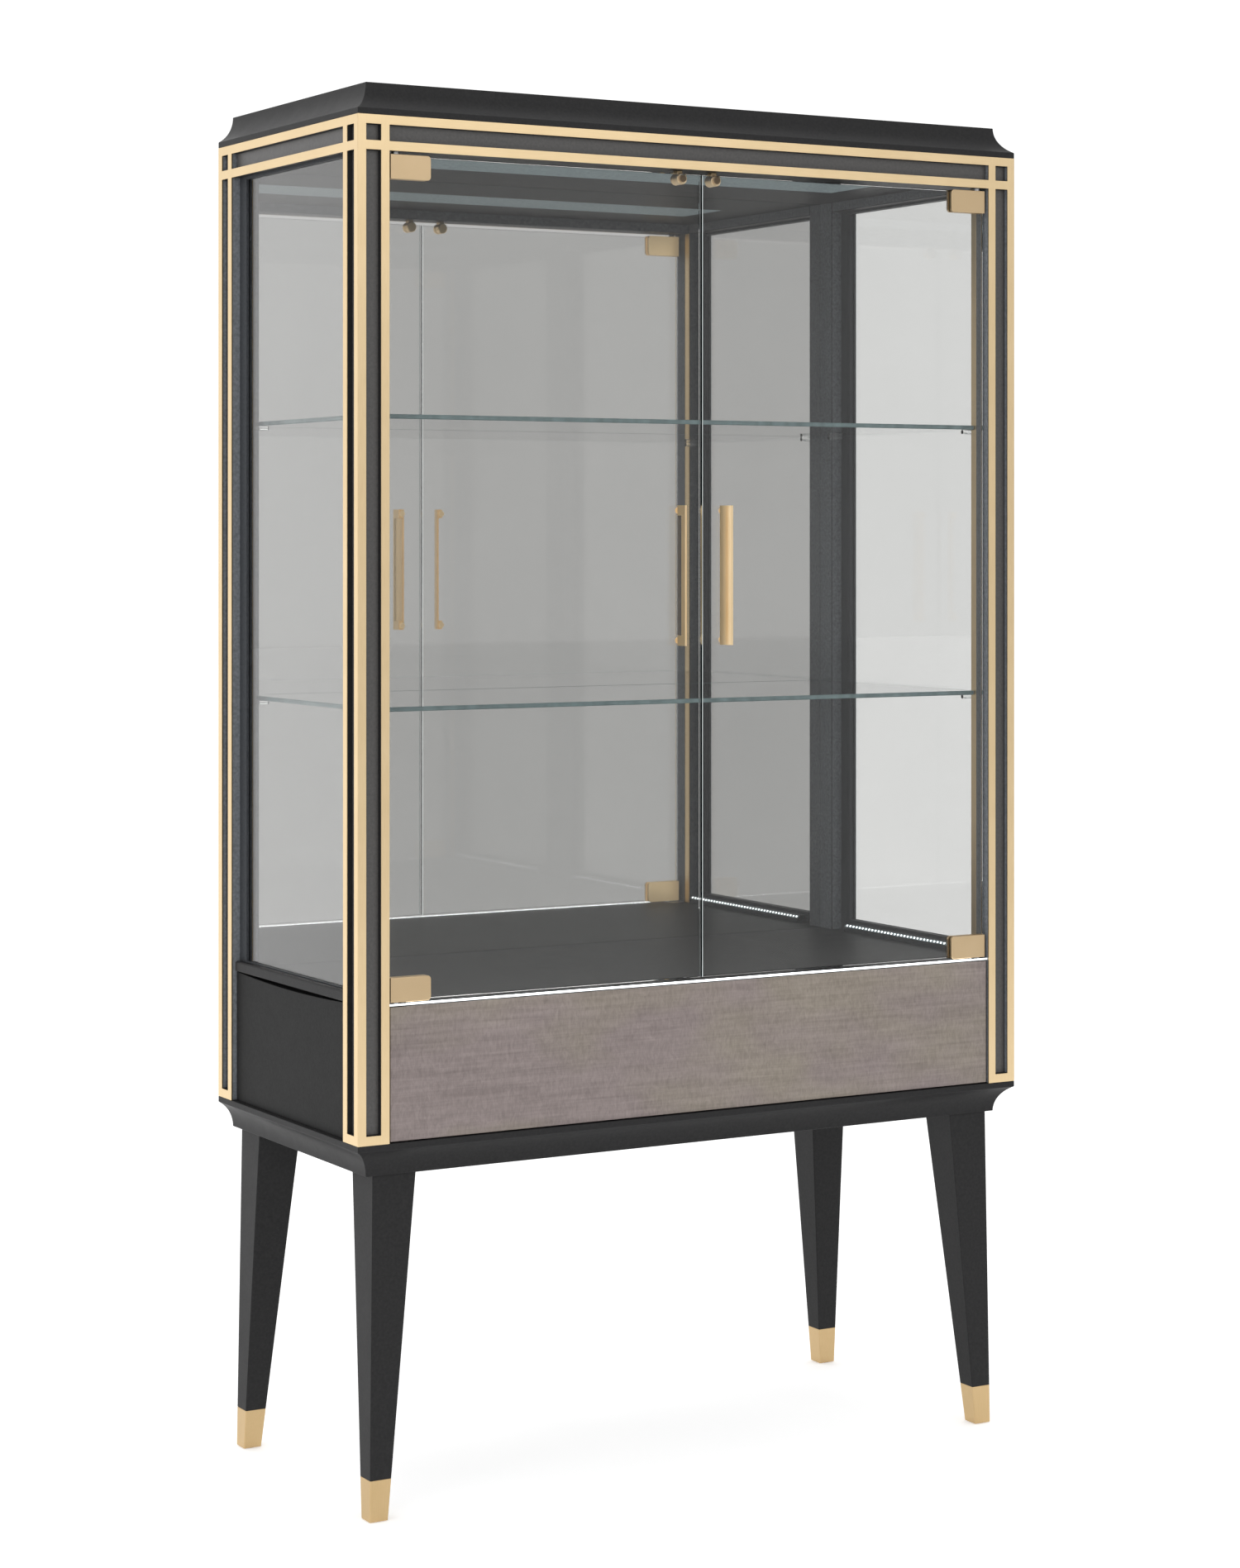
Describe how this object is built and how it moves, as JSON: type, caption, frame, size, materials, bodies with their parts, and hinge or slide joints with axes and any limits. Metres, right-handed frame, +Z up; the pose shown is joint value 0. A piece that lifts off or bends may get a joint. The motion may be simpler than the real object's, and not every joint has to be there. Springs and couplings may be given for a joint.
{
  "type": "china cabinet",
  "caption": "Free-standing display cabinet with hinged glass doors, glass sides and shelves, mirror back, a drawer and tapered legs.",
  "frame": {"origin": "on the floor, under the middle of the whole object's box", "axes": "+X to the right seen from the front, +Y from the doors to the back, +Z up"},
  "size_m": [1.035, 0.461, 1.85],
  "materials": {
    "black_lacquer": "black satin lacquer on wood board",
    "brushed_brass": "satin pale brass",
    "clear_glass": "clear polished float glass with pale teal edges",
    "mirror_glass": "silvered back mirror",
    "grey_veneer": "grey-brown figured veneer under satin lacquer",
    "light_diffuser": "frosted diffuser of the built-in lights",
    "drawer_timber": "clear lacquered birch ply",
    "runner_steel": "zinc plated",
    "steel_hardware": "nickel plated",
    "black_plastic": "moulded black plastic"
  },
  "bodies": {
    "carcass": {"back_left_leg": "black_lacquer", "back_left_post": "black_lacquer", "back_mirror": "mirror_glass", "back_panel": "black_lacquer", "back_right_leg": "black_lacquer", "back_right_post": "black_lacquer", "back_top_rail": "black_lacquer", "base_board": "black_lacquer", "bottom_moulding": "black_lacquer", "ceiling_board": "black_lacquer", "ceiling_light_panel": "light_diffuser", "display_floor": "black_lacquer", "drawer_runners": "runner_steel", "foot_glides": "black_plastic", "front_brass_lattice": "brushed_brass", "front_floor_rail": "black_lacquer", "front_left_leg": "black_lacquer", "front_left_post": "black_lacquer", "front_right_leg": "black_lacquer", "front_right_post": "black_lacquer", "front_top_rail": "black_lacquer", "left_brass_lattice": "brushed_brass", "left_side_frame": "black_lacquer", "left_side_panel": "black_lacquer", "left_top_rail": "black_lacquer", "leg_bolts": "steel_hardware", "leg_ferrules": "brushed_brass", "light_driver": "black_plastic", "lower_shelf": "clear_glass", "magnetic_catches": "brushed_brass", "pivot_pins": "brushed_brass", "post_inner_strips": "brushed_brass", "right_brass_lattice": "brushed_brass", "right_side_frame": "black_lacquer", "right_side_panel": "black_lacquer", "right_top_rail": "black_lacquer", "runner_packers": "drawer_timber", "shelf_pins": "clear_glass", "side_glass_panes": "clear_glass", "side_glazing_beads": "black_lacquer", "side_lights": "light_diffuser", "side_sills": "black_lacquer", "threshold_light": "light_diffuser", "top_board": "black_lacquer", "top_moulding": "black_lacquer", "upper_shelf": "clear_glass"},
    "left_door": {"left_catch_plate": "steel_hardware", "left_door_glass": "clear_glass", "left_door_handle": "brushed_brass", "left_door_hinges": "brushed_brass", "left_handle_screws": "brushed_brass"},
    "right_door": {"right_catch_plate": "steel_hardware", "right_door_glass": "clear_glass", "right_door_handle": "brushed_brass", "right_door_hinges": "brushed_brass", "right_handle_screws": "brushed_brass"},
    "drawer": {"drawer_bottom": "drawer_timber", "drawer_box": "drawer_timber", "drawer_front": "grey_veneer", "drawer_slides": "runner_steel"}
  },
  "joints": [
    {"name": "left_door_hinge", "type": "hinge", "parent": "carcass", "child": "left_door", "pos_m": [-0.459, -0.2075, 1.213], "axis": [0, 0, -1], "range_deg": [0, 110]},
    {"name": "right_door_hinge", "type": "hinge", "parent": "carcass", "child": "right_door", "pos_m": [0.459, -0.2075, 1.213], "axis": [0, 0, 1], "range_deg": [0, 110]},
    {"name": "drawer_slide", "type": "slide", "parent": "carcass", "child": "drawer", "axis": [0, -1, 0], "range_m": [0, 0.3]}
  ]
}
